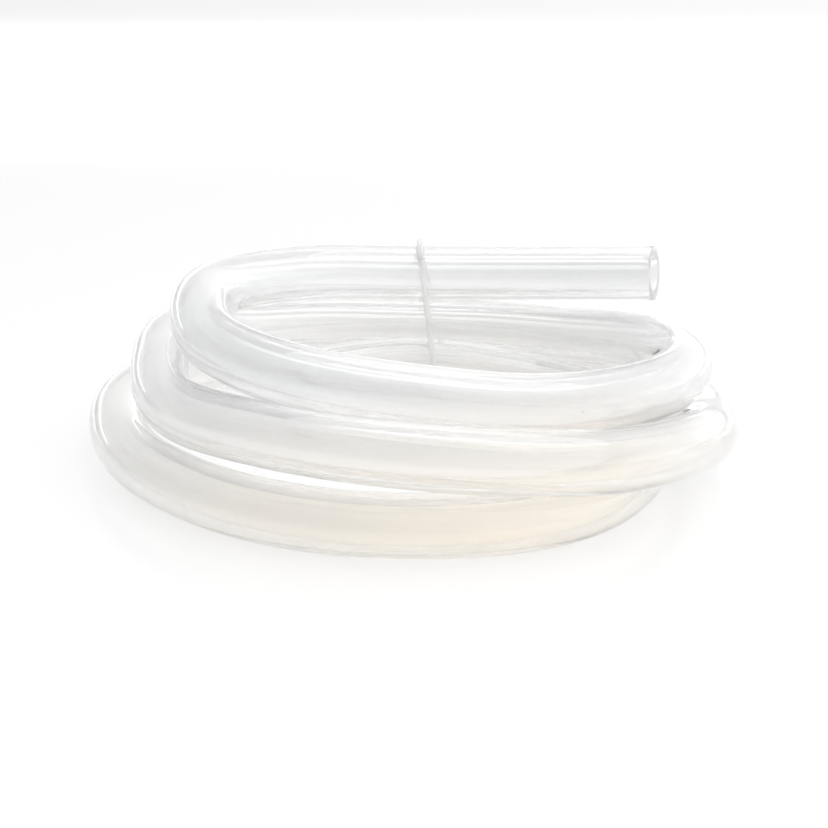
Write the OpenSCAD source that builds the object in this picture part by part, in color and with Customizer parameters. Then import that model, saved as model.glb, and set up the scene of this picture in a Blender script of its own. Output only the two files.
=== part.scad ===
// A length of clear silicone laboratory tubing, wound by hand into a coil of a little over three turns.
// One thin tie holds the strands together at the back, where the upper end leaves the coil.
// Millimetres, +Z up, the coil lies on the floor at z = 0 with the middle of its box at x = y = 0.

/* [Tubing] */
// Outer diameter of the tube
tube_od = 10; // [8:0.5:12]
// Diameter of the bore
tube_bore = 6; // [3:0.5:7]
// Length of the straight stretch at the cut upper end
cut_len = 11; // [8:0.5:14]

/* [Coil] */
// Radius of the tightest strand, from the middle of the coil to the middle of the tube
inner_r = 35; // [30:0.5:60]
// Gap left between strands that lie against each other
strand_gap = 0.3; // [0.3:0.05:1]
// Length of the upper end past the tie
tail_len = 45; // [34:0.5:60]
// How far the upper end bends back towards the coil, in degrees
tail_bend = 27; // [15:1:35]
// Slope of the cut end above the level, in degrees
tail_slope = 4; // [0:0.5:8]

/* [Tie] */
// Diameter of the tie's cord
tie_d = 1.1; // [0.8:0.1:2]
// Clearance between the tie and the strands that it holds
tie_gap = 0.3; // [0.2:0.05:0.5]
// How far the tie stands from where the upper end leaves the coil
tie_x = 4; // [0:0.5:6]
// Lean of the tie out of the upright, in degrees
tie_lean = 7; // [0:1:10]
// Width of the tie's lock head
head_w = 1.6; // [1.5:0.1:3]
// Length of the tie's lock head along the cord
head_len = 3; // [2.5:0.1:6]
// Place of the lock head on the upper strand, in degrees from its top towards the coil's middle
head_angle = 42; // [20:1:60]

/* [Hidden] */

// Facets of the swept wall, and swept rings along the coil, the bend of the upper end and each tie corner
wall_sides = 24;
coil_rings = 110;
bend_rings = 6;
tie_sides = 10;
corner_rings = 8;
// The swept wall stays this far inside the round wall of the cut end, and reaches this far into it
seam_inset = 0.03;
seam_reach = 2;
seam_start = 1;

// Where the strands lie. A row is one turn and a column a twelfth of it: back, left, front, right.
// The first table counts strand steps outwards from the tightest strand, the second upwards from the floor.
steps_out = [
    [1.05, 0.75, 0.35, 0.00, 0.05, 0.25, 0.45, 0.60, 0.75, 0.95, 1.15, 1.45],
    [1.45, 1.40, 1.10, 0.65, 0.75, 1.05, 1.40, 1.75, 1.45, 1.40, 1.80, 2.25],
    [2.40, 2.35, 2.00, 1.35, 1.10, 1.10, 1.25, 1.15, 0.60, 0.35, 0.45, 0.50],
    [0.50, 0.60]
];
steps_up = [
    [1.55, 1.85, 2.00, 2.05, 1.95, 1.85, 1.70, 1.45, 1.30, 1.15, 0.95, 0.65],
    [0.50, 0.80, 1.15, 1.15, 1.05, 1.15, 1.10, 0.90, 0.55, 0.15, 0.00, 0.00],
    [0.00, 0.00, 0.05, 0.05, 0.05, 0.00, 0.00, 0.00, 0.00, 0.00, 0.00, 0.00],
    [0.00, 0.00]
];
// Where the strand would lie one twelfth before the first place and after the last, which sets its heading
before_first = [1.50, 1.65];
after_last = [0.70, 0.00];

turn_steps = 12;
clock_step = 360 / turn_steps;
start_angle = 90;
strand_step = tube_od + strand_gap;
tube_r = tube_od / 2;
bore_r = tube_bore / 2;
swept_r = tube_r - seam_inset;
swept_bore_r = (bore_r + seam_inset) / cos(180 / wall_sides);
outs = [before_first[0], for (turn = steps_out) each turn, after_last[0]];
ups = [before_first[1], for (turn = steps_up) each turn, after_last[1]];
coil_end = len(outs) - 3;

// The strands ride over the tie where it passes under them, which leaves it just clear of the floor
floor_gap = 0.1;
tie_lift = tie_d + tie_gap + floor_gap;
lift_span = 40;

// Smooth curve through the values of a list, one unit apart, starting at its second value
function smooth(v, t) =
    let (i = min(floor(t), len(v) - 4), u = t - i, a = v[i], b = v[i + 1], c = v[i + 2], d = v[i + 3])
    b + u * (c - a + u * (2 * a - 5 * b + 4 * c - d + u * (3 * b - 3 * c + d - a))) / 2;

// Height given to the strands by the tie under them, at an angle round the coil
function lift(angle) =
    let (off = abs((angle - start_angle + 180) % 360 - 180))
    off < lift_span ? tie_lift * (1 + cos(180 * off / lift_span)) / 2 : 0;

// Middle of the tube after t twelfths of a turn
function strand(t) =
    let (angle = start_angle + clock_step * t, r = inner_r + strand_step * smooth(outs, t))
    [r * cos(angle), r * sin(angle), tube_r + strand_step * smooth(ups, t) + lift(angle)];

function unit(v) = v / norm(v);
function heading(t) = unit(strand(min(t + 0.01, coil_end)) - strand(max(t - 0.01, 0)));

// The upper end leaves the first place backwards, bends level at an even rate and then runs straight
tail_start = strand(0);
tail_dir = -heading(0);
tail_yaw = atan2(tail_dir[1], tail_dir[0]);
tail_rise = tail_dir[2] / norm([tail_dir[0], tail_dir[1]]);
end_rise = tan(tail_slope);
end_yaw = tail_yaw - tail_bend;
bend_len = tail_len - cut_len - seam_start;
bend_r = bend_len / (tail_bend * PI / 180);

function tail_heading(s) =
    let (share = min(s / bend_len, 1), yaw = tail_yaw - tail_bend * share)
    unit([cos(yaw), sin(yaw), tail_rise + (end_rise - tail_rise) * share]);
function tail(s) =
    let (b = min(s, bend_len), yaw = tail_yaw - tail_bend * b / bend_len, run = s - b)
    tail_start + [
        bend_r * (sin(tail_yaw) - sin(yaw)) + run * cos(yaw),
        bend_r * (cos(yaw) - cos(tail_yaw)) + run * sin(yaw),
        tail_rise * b + (end_rise - tail_rise) * b * b / (2 * bend_len) + run * end_rise
    ];

// Middle points and headings of the swept rings, from inside the cut end down to the lower end
straight_s = bend_len + seam_start;
tail_s = [straight_s + seam_reach, for (i = [bend_rings:-1:1]) bend_len * i / bend_rings];
coil_t = [for (i = [0:coil_rings]) coil_end * i / coil_rings];
ring_mids = [for (s = tail_s) tail(s), for (t = coil_t) strand(t)];
ring_dirs = [for (s = tail_s) -tail_heading(s), for (t = coil_t) heading(t)];

// One ring of points round a middle point, square to its heading
function ring(mid, dir, r, sides) =
    let (side = unit(cross([0, 0, 1], dir)), top = cross(dir, side))
    [for (i = [0:sides - 1]) mid + r * (cos(360 * i / sides) * side + sin(360 * i / sides) * top)];

// Triangles between ring a and ring b of a list of points with n to a ring
function band(a, b, n) = [
    for (i = [0:n - 1]) let (j = (i + 1) % n) each [
        [a * n + i, b * n + i, b * n + j],
        [a * n + i, b * n + j, a * n + j]
    ]
];

// The tie goes round the outermost three of its four strands:
// the upper end and the strands of two later turns
function beside_tie(turn) =
    let (t = turn * turn_steps, p = strand(t), back = tie_x / norm([p[0], p[1]]) * 180 / PI / clock_step)
    strand(t - back);
tie_foot_z = beside_tie(3)[2];
function leaned_x(z) = tie_x - (z - tie_foot_z) * tan(tie_lean);
tie_r = tube_r + tie_gap + tie_d / 2;
tie_corners = [for (p = [tail(leaned_x(tail_start[2])), beside_tie(2), beside_tie(3)]) [p[1], p[2]]];

// Angle of the outward normal of the tie's side that leaves a corner
function side_normal(i) =
    let (side = tie_corners[(i + 1) % 3] - tie_corners[i % 3])
    atan2(side[0], -side[1]);
function turn_between(from, to) = let (d = (from - to) % 360) d < 0 ? d + 360 : d;

tie_path = [
    for (i = [0:2]) let (from = side_normal(i + 2), sweep = turn_between(from, side_normal(i)))
    for (k = [0:corner_rings]) [tie_corners[i], from - sweep * k / corner_rings]
];
tie_points = [
    for (p = tie_path)
    let (out = [0, cos(p[1]), sin(p[1])], level = [0, p[0][0], p[0][1]] + tie_r * out)
    let (mid = level + [leaned_x(level[2]), 0, 0])
    for (i = [0:tie_sides - 1])
    mid + tie_d / 2 * (cos(360 * i / tie_sides) * out + [sin(360 * i / tie_sides), 0, 0])
];

// The whole part is set down with its box centred over the origin
wall_points = [for (i = [0:len(ring_mids) - 1]) each ring(ring_mids[i], ring_dirs[i], swept_r, wall_sides)];
box_points = concat(wall_points, tie_points);
function low(points, k) = min([for (p = points) p[k]]);
function high(points, k) = max([for (p = points) p[k]]);
function middle(k) = (low(box_points, k) + high(box_points, k)) / 2;
origin = [middle(0), middle(1), low(wall_points, 2)];

module swept_wall() {
    n = wall_sides;
    last = len(ring_mids) - 1;
    bore_points = [for (i = [0:last]) each ring(ring_mids[i], ring_dirs[i], swept_bore_r, n)];
    polyhedron(
        points = concat(wall_points, bore_points),
        faces = [
            for (i = [0:last - 1]) each band(i, i + 1, n),
            for (i = [0:last - 1]) each band(last + 2 + i, last + 1 + i, n),
            each band(last + 1, 0, n),
            each band(last, 2 * last + 1, n)
        ]
    );
}

module cut_end() {
    translate(tail(straight_s))
        rotate([0, 90 - tail_slope, end_yaw])
        difference() {
            cylinder(h = cut_len, r = tube_r, $fn = 96);
            translate([0, 0, -1]) cylinder(h = cut_len + 2, r = bore_r, $fn = 96);
        }
}

module tubing() {
    color("gainsboro") translate(-origin) {
        swept_wall();
        cut_end();
    }
}

module tie_cord() {
    rings = len(tie_path);
    polyhedron(
        points = tie_points,
        faces = [for (i = [0:rings - 1]) each band(i, (i + 1) % rings, tie_sides)]
    );
}

module lock_head() {
    round_r = head_w / 3;
    top = tie_corners[0];
    translate([leaned_x(top[1]), top[0], top[1]])
        rotate([0, -tie_lean, 0])
        rotate([head_angle, 0, 0])
        translate([0, 0, tube_r + 1.5 * tie_gap])
        linear_extrude(height = head_w)
        offset(r = round_r) square([head_w - 2 * round_r, head_len - 2 * round_r], center = true);
}

module tie() {
    color("white") translate(-origin) {
        tie_cord();
        lock_head();
    }
}

tubing();
tie();
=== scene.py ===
import math

import bpy
import bmesh
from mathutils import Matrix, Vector


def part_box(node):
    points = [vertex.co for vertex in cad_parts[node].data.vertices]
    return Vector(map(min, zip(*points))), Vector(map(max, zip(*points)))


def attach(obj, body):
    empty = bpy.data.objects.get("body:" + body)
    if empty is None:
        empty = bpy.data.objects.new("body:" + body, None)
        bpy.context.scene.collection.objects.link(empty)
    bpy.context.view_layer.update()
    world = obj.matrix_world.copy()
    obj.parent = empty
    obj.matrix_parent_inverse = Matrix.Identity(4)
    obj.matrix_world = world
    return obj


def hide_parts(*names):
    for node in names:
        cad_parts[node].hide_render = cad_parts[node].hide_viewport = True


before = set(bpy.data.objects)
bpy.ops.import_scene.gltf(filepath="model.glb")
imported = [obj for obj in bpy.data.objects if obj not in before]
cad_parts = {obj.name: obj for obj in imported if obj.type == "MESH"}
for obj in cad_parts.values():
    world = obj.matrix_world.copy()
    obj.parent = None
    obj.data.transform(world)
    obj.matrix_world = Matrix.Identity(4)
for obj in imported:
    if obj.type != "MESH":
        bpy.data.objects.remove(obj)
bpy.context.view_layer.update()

bpy.ops.object.select_all(action="DESELECT")

# The tubing: one length of milky clear silicone, extruded with a round bore and wound by hand.
# It lies in a coil of three turns and an overlap, and its upper end is cut square and bends away
# to the right. The same places as in the construction carry the line, in millimetres.

tube_od = 10
tube_bore = 6
cut_len = 11
inner_r = 35
strand_gap = 0.3
tail_len = 45
tail_bend = 27
tail_slope = 4
seam_start = 1
tie_lift = 1.5
lift_span = 40

# How many strand steps out and up the strand lies at each twelfth of a turn, with one place more
# before the first and after the last, which set its heading
steps_out = [
    1.50,
    1.05, 0.75, 0.35, 0.00, 0.05, 0.25, 0.45, 0.60, 0.75, 0.95, 1.15, 1.45,
    1.45, 1.40, 1.10, 0.65, 0.75, 1.05, 1.40, 1.75, 1.45, 1.40, 1.80, 2.25,
    2.40, 2.35, 2.00, 1.35, 1.10, 1.10, 1.25, 1.15, 0.60, 0.35, 0.45, 0.50,
    0.50, 0.60,
    0.70,
]
steps_up = [
    1.65,
    1.55, 1.85, 2.00, 2.05, 1.95, 1.85, 1.70, 1.45, 1.30, 1.15, 0.95, 0.65,
    0.50, 0.80, 1.15, 1.15, 1.05, 1.15, 1.10, 0.90, 0.55, 0.15, 0.00, 0.00,
    0.00, 0.00, 0.05, 0.05, 0.05, 0.00, 0.00, 0.00, 0.00, 0.00, 0.00, 0.00,
    0.00, 0.00,
    0.00,
]
turn_steps = 12
clock_step = 360 / turn_steps
start_angle = 90
strand_step = tube_od + strand_gap
tube_r = tube_od / 2
bore_r = tube_bore / 2
coil_end = len(steps_out) - 3


def smooth(row, t):
    """Smooth curve through the values of a row, one unit apart, starting at its second value."""
    i = min(int(t), len(row) - 4)
    u = t - i
    a, b, c, d = row[i:i + 4]
    return b + u * (c - a + u * (2 * a - 5 * b + 4 * c - d + u * (3 * b - 3 * c + d - a))) / 2


def strand(t):
    """Middle of the tube after t twelfths of a turn. It rides over the tie at the back."""
    angle = start_angle + clock_step * t
    off = abs((angle - start_angle + 180) % 360 - 180)
    lift = tie_lift * (1 + math.cos(math.pi * off / lift_span)) / 2 if off < lift_span else 0
    r = inner_r + strand_step * smooth(steps_out, t)
    a = math.radians(angle)
    return Vector((r * math.cos(a), r * math.sin(a), tube_r + strand_step * smooth(steps_up, t) + lift))


def strand_way(t):
    """Heading of the tube there."""
    return (strand(min(t + 0.01, coil_end)) - strand(max(t - 0.01, 0))).normalized()


tail_start = strand(0)
tail_way = -strand_way(0)
tail_yaw = math.atan2(tail_way.y, tail_way.x)
tail_rise = tail_way.z / math.hypot(tail_way.x, tail_way.y)
end_rise = math.tan(math.radians(tail_slope))
bend = math.radians(tail_bend)
bend_len = tail_len - cut_len - seam_start
bend_r = bend_len / bend


def tail(s):
    """Middle and heading of the upper end, s past the place where it leaves the coil."""
    b = min(s, bend_len)
    yaw = tail_yaw - bend * b / bend_len
    run = s - b
    mid = tail_start + Vector((
        bend_r * (math.sin(tail_yaw) - math.sin(yaw)) + run * math.cos(yaw),
        bend_r * (math.cos(yaw) - math.cos(tail_yaw)) + run * math.sin(yaw),
        tail_rise * b + (end_rise - tail_rise) * b * b / (2 * bend_len) + run * end_rise,
    ))
    rise = tail_rise + (end_rise - tail_rise) * b / bend_len
    return mid, Vector((math.cos(yaw), math.sin(yaw), rise)).normalized()


tail_stop = 1.6
coil_stops = 470
line = [tail(tail_len - tail_stop * k) for k in range(int(tail_len / tail_stop))]
line = [(mid, -way) for mid, way in line]
line += [(strand(t), strand_way(t)) for t in [coil_end * k / coil_stops for k in range(coil_stops + 1)]]

# The rims of a cut end are broken by a hair: how far in from the end, and how much is taken off there
outer_rim = [(0, 0.18), (0.05, 0.06), (0.18, 0)]
inner_rim = [(0, 0.12), (0.03, 0.04), (0.12, 0)]

# Each ring is (middle, heading, radius). The wall runs down the outside and comes back up the bore.
first_mid, first_way = line[0]
last_mid, last_way = line[-1]
rings = [(first_mid + first_way * inset, first_way, tube_r - cut) for inset, cut in outer_rim]
rings += [(mid, way, tube_r) for mid, way in line[1:-1]]
rings += [(last_mid - last_way * inset, last_way, tube_r - cut) for inset, cut in outer_rim[::-1]]
rings += [(last_mid - last_way * inset, last_way, bore_r + cut) for inset, cut in inner_rim]
rings += [(mid, way, bore_r) for mid, way in line[-2:0:-1]]
rings += [(first_mid + first_way * inset, first_way, bore_r + cut) for inset, cut in inner_rim[::-1]]


def add_ring(into, mid, radius, side, up, count):
    """A ring of new points round a middle point."""
    turns = [2 * math.pi * i / count for i in range(count)]
    return [into.verts.new(mid + radius * (math.cos(a) * side + math.sin(a) * up)) for a in turns]


tube_sides = 56
uv_per_mm = 0.01
tube_mesh = bmesh.new()
along = tube_mesh.loops.layers.uv.new("along")
loops = []
for mid, way, radius in rings:
    side = Vector((0, 0, 1)).cross(way).normalized()
    loops.append(add_ring(tube_mesh, mid, radius, side, way.cross(side), tube_sides))
run = 0
for k, ring in enumerate(loops):
    after = (k + 1) % len(loops)
    step = (rings[after][0] - rings[k][0]).length
    for i in range(tube_sides):
        j = (i + 1) % tube_sides
        face = tube_mesh.faces.new([ring[i], loops[after][i], loops[after][j], ring[j]])
        corners = [(i, run), (i, run + step), (i + 1, run + step), (i + 1, run)]
        for loop, (u, v) in zip(face.loops, corners):
            loop[along].uv = (u / tube_sides, v * uv_per_mm)
    run += step
bmesh.ops.recalc_face_normals(tube_mesh, faces=tube_mesh.faces)

# The line is set down where the construction's tubing lies, in metres
mm = 0.001
low = Vector([min(v.co[k] for v in tube_mesh.verts) for k in range(3)])
high = Vector([max(v.co[k] for v in tube_mesh.verts) for k in range(3)])
cad_low, cad_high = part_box("tubing")
set_down = (cad_low + cad_high) / 2 - (low + high) / 2 * mm
for v in tube_mesh.verts:
    v.co = v.co * mm + set_down


def place_mesh(built, name):
    """The object that a bmesh becomes."""
    mesh = bpy.data.meshes.new(name)
    built.to_mesh(mesh)
    built.free()
    placed = bpy.data.objects.new(name, mesh)
    bpy.context.scene.collection.objects.link(placed)
    placed.select_set(True)
    bpy.context.view_layer.objects.active = placed
    return placed


tube = place_mesh(tube_mesh, "silicone_tube")
bpy.ops.object.shade_smooth_by_angle(angle=math.radians(35))
bpy.ops.object.select_all(action="DESELECT")


def feed(tree, node, inputs):
    """Links each input that is given a socket, and sets the others."""
    for key, value in inputs.items():
        if isinstance(value, bpy.types.NodeSocket):
            tree.links.new(value, node.inputs[key])
        else:
            node.inputs[key].default_value = value
    return node


def add_node(tree, kind, inputs):
    return feed(tree, tree.nodes.new("ShaderNode" + kind), inputs)


def add_math(tree, operation, *values):
    node = add_node(tree, "Math", dict(enumerate(values)))
    node.operation = operation
    return node.outputs[0]


def mix_colours(tree, share, first, second):
    node = tree.nodes.new("ShaderNodeMix")
    node.data_type = "RGBA"
    return feed(tree, node, {"Factor": share, "A": first, "B": second}).outputs["Result"]


def new_material(name):
    """A material, its node tree, its Principled shader and its output node."""
    made = bpy.data.materials.new(name)
    made.use_nodes = True
    tree = made.node_tree
    tree.nodes.clear()
    out = tree.nodes.new("ShaderNodeOutputMaterial")
    shader = tree.nodes.new("ShaderNodeBsdfPrincipled")
    tree.links.new(shader.outputs[0], out.inputs["Surface"])
    return made, tree, shader, out


# Dust: flecks of a set radius in metres, scattered about Spread to a metre
dust = bpy.data.node_groups.new("dust", "ShaderNodeTree")
for name, kind in (("Vector", "Vector"), ("Spread", "Float"), ("Size", "Float")):
    dust.interface.new_socket(name, in_out="INPUT", socket_type="NodeSocket" + kind)
dust.interface.new_socket("Mask", in_out="OUTPUT", socket_type="NodeSocketFloat")
given = dust.nodes.new("NodeGroupInput").outputs
flecks = add_node(dust, "TexVoronoi", {"Vector": given["Vector"], "Scale": given["Spread"]})
limit = add_math(dust, "MULTIPLY", given["Spread"], given["Size"])
mask = dust.nodes.new("NodeGroupOutput")
feed(dust, mask, {"Mask": add_math(dust, "LESS_THAN", flecks.outputs["Distance"], limit)})
dust_colour = (0.16, 0.14, 0.12, 1)


def dusty(tree, colour, spread, size):
    """The same colour with the dust on it."""
    place = add_node(tree, "TexCoord", {}).outputs["Object"]
    group = tree.nodes.new("ShaderNodeGroup")
    group.node_tree = dust
    feed(tree, group, {"Vector": place, "Spread": spread, "Size": size})
    return mix_colours(tree, group.outputs["Mask"], colour, dust_colour)


silicone, tree, shader, out = new_material("milky_silicone")
silicone_ior = 1.41
feed(tree, shader, {
    "Roughness": 0.08,
    "Coat Weight": 1,
    "Coat Roughness": 0.02,
    "Coat IOR": silicone_ior,
    "IOR": silicone_ior,
    "Transmission Weight": 0.81,
})

# Painted light: the colour changes with place, not with the lamps. The lowest turn is tinted warm at
# the front, standing in for light that passes through the stacked strands, and the upper turns are
# tinted cool
place = add_node(tree, "TexCoord", {}).outputs["Object"]
height = add_node(tree, "SeparateXYZ", {0: place}).outputs["Z"]
rise = add_node(tree, "MapRange", {"Value": height, "From Min": 0.006, "From Max": 0.024})
colour = mix_colours(tree, rise.outputs["Result"], (0.986, 0.983, 0.975, 1), (0.974, 0.978, 0.984, 1))
front = add_node(tree, "Mapping", {"Vector": place, "Location": (-0.2, 0.9, 0), "Scale": (14, 16, 40)})
# The painted warm tint, strongest at the front of the lowest turn
painted_warm_tint = add_node(tree, "TexGradient", {"Vector": front.outputs[0]})
painted_warm_tint.gradient_type = "SPHERICAL"
colour = mix_colours(tree, painted_warm_tint.outputs["Fac"], colour, (1, 0.957, 0.89, 1))
feed(tree, shader, {"Base Color": dusty(tree, colour, 170, 0.00015)})

# Faint lines run along it, as the die leaves them: noise on a cylinder that is drawn out lengthwise
uv = add_node(tree, "UVMap", {})
uv.uv_map = "along"
uv = add_node(tree, "SeparateXYZ", {0: uv.outputs[0]}).outputs
angle = add_math(tree, "MULTIPLY", uv["X"], 2 * math.pi)
drawn_out = add_node(tree, "CombineXYZ", {
    "X": add_math(tree, "COSINE", angle),
    "Y": add_math(tree, "SINE", angle),
    "Z": add_math(tree, "MULTIPLY", uv["Y"], 0.2),
})
lines = add_node(tree, "TexNoise", {"Vector": drawn_out.outputs[0], "Scale": 7})
relief = add_node(tree, "Bump", {"Strength": 0.12, "Distance": 0.00003, "Height": lines.outputs["Fac"]})
feed(tree, shader, {"Normal": relief.outputs[0]})

# Lamps shine through it, and past two strands, which have eight surfaces, the rest is seen unbent
most_surfaces = 8.5
path = add_node(tree, "LightPath", {}).outputs
deep = add_math(tree, "GREATER_THAN", path["Transmission Depth"], most_surfaces)
through = add_math(tree, "MAXIMUM", deep, path["Is Shadow Ray"])
clear = add_node(tree, "BsdfTransparent", {"Color": (0.97, 0.97, 0.97, 1)})
body = add_node(tree, "MixShader", {0: through, 1: shader.outputs[0], 2: clear.outputs[0]})
haze = add_node(tree, "VolumeAbsorption", {"Color": (0.95, 0.9, 0.82, 1), "Density": 6})
feed(tree, out, {"Surface": body.outputs[0], "Volume": haze.outputs[0]})
tube.data.materials.append(silicone)

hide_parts("tubing")
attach(tube, "root")

# The tie: one thin clear cord, closed into a loop round the strands at the back of the coil. Its ends
# meet in a small moulded lock head that sits on the upper strand.

tie_d = 1.1
tie_gap = 0.3
tie_x = 4
tie_lean = math.radians(7)
head_w = 1.6
head_len = 3
head_angle = math.radians(42)


def beside_tie(turn):
    """Middle of the tube beside the tie, after so many turns."""
    mid = strand(turn_steps * turn)
    back = math.degrees(tie_x / math.hypot(mid.x, mid.y)) / clock_step
    return strand(turn_steps * turn - back)


foot_height = beside_tie(3).z


def leaned(height):
    """How far to the right the tie stands at a height."""
    return tie_x - (height - foot_height) * math.tan(tie_lean)


held = [tail(leaned(tail_start.z))[0], beside_tie(2), beside_tie(3)]
held = [Vector((0, mid.y, mid.z)) for mid in held]
tie_r = tube_r + tie_gap + tie_d / 2
corner_stops = 16
tie_sides = 20
tie_mesh = bmesh.new()
loops = []
for i, corner in enumerate(held):
    before, after = corner - held[i - 1], held[(i + 1) % 3] - corner
    start = math.atan2(before.y, -before.z)
    sweep = (start - math.atan2(after.y, -after.z)) % (2 * math.pi)
    for k in range(corner_stops + 1):
        a = start - sweep * k / corner_stops
        outwards = Vector((0, math.cos(a), math.sin(a)))
        mid = corner + tie_r * outwards
        mid.x = leaned(mid.z)
        loops.append(add_ring(tie_mesh, mid, tie_d / 2, outwards, Vector((1, 0, 0)), tie_sides))
for k, ring in enumerate(loops):
    next_ring = loops[(k + 1) % len(loops)]
    for i in range(tie_sides):
        j = (i + 1) % tie_sides
        tie_mesh.faces.new([ring[i], next_ring[i], next_ring[j], ring[j]])
bmesh.ops.recalc_face_normals(tie_mesh, faces=tie_mesh.faces)
tie = place_mesh(tie_mesh, "tie")
bpy.ops.object.select_all(action="DESELECT")

# The lock head: a block with rounded edges, turned to lie on the upper strand
head_lift = tube_r + 1.5 * tie_gap + head_w / 2
head_way = Vector((
    -math.sin(tie_lean) * math.cos(head_angle),
    -math.sin(head_angle),
    math.cos(tie_lean) * math.cos(head_angle),
))
bpy.ops.mesh.primitive_cube_add(size=1)
head = bpy.context.active_object
head.name = "lock_head"
head.scale = (head_w, head_len, head_w)
bpy.ops.object.transform_apply(location=False, rotation=False, scale=True)
soften = head.modifiers.new("soften", "BEVEL")
soften.width = head_w * 0.33
soften.segments = 4
bpy.ops.object.modifier_apply(modifier="soften")
head.rotation_euler = (head_angle, 0, 0)
bpy.ops.object.transform_apply(location=False, rotation=True, scale=False)
head.rotation_euler = (0, -tie_lean, 0)
head.location = Vector((leaned(held[0].z), held[0].y, held[0].z)) + head_lift * head_way
bpy.ops.object.transform_apply(location=True, rotation=True, scale=False)
tie.select_set(True)
bpy.context.view_layer.objects.active = tie
bpy.ops.object.join()
bpy.ops.object.shade_smooth_by_angle(angle=math.radians(40))
bpy.ops.object.select_all(action="DESELECT")
for v in tie.data.vertices:
    v.co = v.co * mm + set_down

# It is almost clear, and a little cloudy in places
nylon, tree, shader, out = new_material("clear_tie")
place = add_node(tree, "TexCoord", {}).outputs["Object"]
patches = add_node(tree, "TexNoise", {"Vector": place, "Scale": 400}).outputs["Fac"]
cloudy = mix_colours(tree, patches, (0.88, 0.89, 0.88, 1), (0.97, 0.97, 0.96, 1))
feed(tree, shader, {
    "Base Color": dusty(tree, cloudy, 600, 0.00006),
    "Roughness": 0.3,
    "IOR": 1.45,
    "Alpha": 0.35,
})
tie.data.materials.append(nylon)
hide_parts("tie")
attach(tie, "root")

# The floor: a sheet of glossy white plastic, which mirrors the lowest strands faintly. What looks
# straight at it sees it a little brighter than it lights its surroundings, so that it shows white.


def seen_directly(tree):
    """1 where the camera, a reflection or the clear silicone looks straight at a surface, else 0."""
    path = add_node(tree, "LightPath", {}).outputs
    either = add_math(tree, "MAXIMUM", path["Is Camera Ray"], path["Is Glossy Ray"])
    return add_math(tree, "MAXIMUM", either, path["Is Transmission Ray"])


bpy.ops.mesh.primitive_circle_add(vertices=96, radius=3, fill_type="NGON", location=(0, 0, 0))
floor = bpy.context.active_object
floor.name = "floor"
bpy.ops.object.select_all(action="DESELECT")
gloss, tree, shader, out = new_material("white_floor")
tree.nodes.remove(shader)
seen = seen_directly(tree)
shade = add_node(tree, "MapRange", {"Value": seen, "To Min": 0.85, "To Max": 0.45})
matt = add_node(tree, "BsdfDiffuse", {"Color": shade.outputs["Result"]})
bright = add_node(tree, "Emission", {"Strength": add_math(tree, "MULTIPLY", seen, 0.62)})
white = add_node(tree, "AddShader", {0: matt.outputs[0], 1: bright.outputs[0]})
mirror = add_node(tree, "BsdfGlossy", {"Roughness": 0.06})
sheen = add_node(tree, "Fresnel", {"IOR": 1.45})
face = add_node(tree, "MixShader", {0: sheen.outputs[0], 1: white.outputs[0], 2: mirror.outputs[0]})
feed(tree, out, {"Surface": face.outputs[0]})
floor.data.materials.append(gloss)

# The light: a pale room, brighter on its right, with one large softbox overhead and a low strip far
# behind the coil, which draws the thin bright lines along the strands.

world = bpy.data.worlds.new("studio")
bpy.context.scene.world = world
world.use_nodes = True
tree = world.node_tree
tree.nodes.clear()
way = add_node(tree, "TexCoord", {}).outputs["Generated"]
rightwards = add_node(tree, "VectorMath", {0: way, 1: (0.95, 0.3, 0)})
rightwards.operation = "DOT_PRODUCT"
side = add_node(tree, "MapRange", {
    "Value": rightwards.outputs["Value"],
    "From Min": -1,
    "To Min": 0.4,
    "To Max": 1.27,
})

# The room's brightness from the floor line up to overhead
sweep = add_node(tree, "ValToRGB", {"Fac": add_node(tree, "SeparateXYZ", {0: way}).outputs["Z"]})
low_stop, high_stop = sweep.color_ramp.elements
low_stop.position, low_stop.color = 0.15, (1, 1, 1, 1)
high_stop.position, high_stop.color = 0.35, (0.83, 0.83, 0.83, 1)
top_stop = sweep.color_ramp.elements.new(0.95)
top_stop.color = (1, 1, 1, 1)

level = add_node(tree, "MapRange", {"Value": seen_directly(tree), "To Min": 1.15, "To Max": 1})
upper = add_math(tree, "MULTIPLY", side.outputs["Result"], sweep.outputs["Color"])
room = add_math(tree, "MULTIPLY", upper, level.outputs["Result"])
camera_ray = add_node(tree, "LightPath", {}).outputs["Is Camera Ray"]
shown = add_math(tree, "MAXIMUM", room, camera_ray)
sky = add_node(tree, "Background", {"Color": (1, 1, 1, 1), "Strength": shown})
add_node(tree, "OutputWorld", {"Surface": sky.outputs[0]})

for name, place, size, energy in [
    ("softbox", (0.2, 0.25, 1.3), (1.6, 1.1), 5.5),
    ("back_strip", (0, 1.6, 0.16), (3.2, 0.1), 1.2),
]:
    lamp = bpy.data.lights.new(name, "AREA")
    lamp.shape = "RECTANGLE"
    lamp.size, lamp.size_y = size
    lamp.energy = energy
    box = bpy.data.objects.new(name, lamp)
    box.location = place
    box.visible_camera = False
    box.rotation_euler = (-Vector(place)).to_track_quat("-Z", "Y").to_euler()
    bpy.context.scene.collection.objects.link(box)

# The camera: a long lens at the front, 16 degrees above the level, as for the photograph. Colours go
# out plainly, without a film look.

view = bpy.data.cameras.new("camera")
view.lens = 99.17
view.sensor_width = 36
view.clip_start = 0.01
camera = bpy.data.objects.new("camera", view)
camera.location = (0.00068, -0.37180, 0.11359)
camera.rotation_euler = (math.radians(74), 0, 0)
bpy.context.scene.collection.objects.link(camera)
bpy.context.scene.camera = camera
bpy.context.scene.view_settings.view_transform = "Standard"

bpy.context.view_layer.update()
